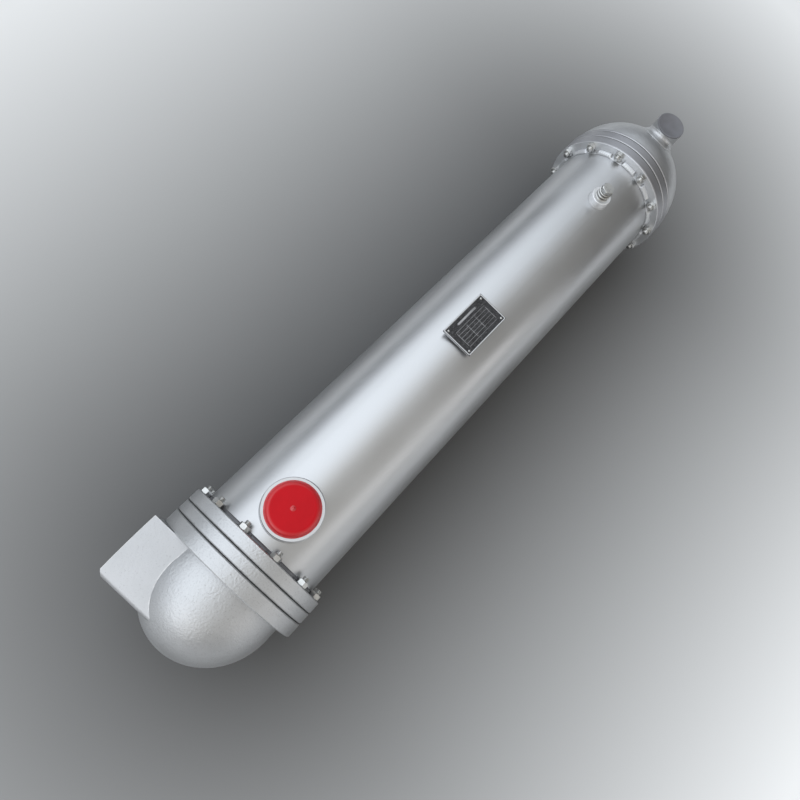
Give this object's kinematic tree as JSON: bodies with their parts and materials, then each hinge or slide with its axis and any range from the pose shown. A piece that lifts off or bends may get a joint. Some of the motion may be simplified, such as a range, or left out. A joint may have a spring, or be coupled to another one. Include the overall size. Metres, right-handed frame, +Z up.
{
  "type": "shell and tube heat exchanger",
  "caption": "Horizontal shell and tube heat exchanger with bolted domed bonnets, a two-port nozzle block on one side, capped shell ports, a vent and saddle feet, for cooling one fluid with another.",
  "frame": {"origin": "on the floor plane, midway between the four foot bolts", "axes": "+X along the shell from the nozzle bonnet to the plain domed end, +Y out of the side nozzle's ports, +Z up"},
  "size_m": [1.3595, 0.265, 0.3195],
  "materials": {
    "silver_paint": "satin aluminium paint on steel",
    "cast_silver_paint": "aluminium paint over a rough casting",
    "gasket": "flat sheet gasket",
    "zinc": "bright zinc plate",
    "red_plastic": "moulded cap",
    "grey_plastic": "moulded plug",
    "plate_black": "black plate with a bare rim",
    "copper_tube": "drawn copper alloy tube"
  },
  "bodies": {
    "root": {"shell": "silver_paint", "near_shell_flange": "silver_paint", "near_flange_weld": "silver_paint", "near_shell_gasket": "gasket", "near_tube_plate": "silver_paint", "near_bonnet_gasket": "gasket", "near_bonnet": "cast_silver_paint", "side_nozzle": "silver_paint", "near_studs": "zinc", "near_nuts": "zinc", "far_shell_flange": "silver_paint", "far_flange_weld": "silver_paint", "far_gasket": "gasket", "lantern_ring": "silver_paint", "far_bonnet_gasket": "gasket", "far_bonnet": "cast_silver_paint", "far_stub": "silver_paint", "far_stub_plug": "grey_plastic", "far_studs": "zinc", "far_nuts": "zinc", "inlet_boss": "silver_paint", "inlet_cap": "red_plastic", "outlet_boss": "silver_paint", "outlet_cap": "red_plastic", "vent_boss": "silver_paint", "vent_plug": "zinc", "name_plate_bracket": "silver_paint", "name_plate": "plate_black", "near_foot_base": "silver_paint", "near_foot_web": "silver_paint", "near_foot_ribs": "silver_paint", "near_foot_pad": "silver_paint", "far_foot_base": "silver_paint", "far_foot_web": "silver_paint", "far_foot_ribs": "silver_paint", "far_foot_pad": "silver_paint", "tube_bundle": "copper_tube", "floating_tube_plate": "silver_paint"}
  },
  "joints": []
}
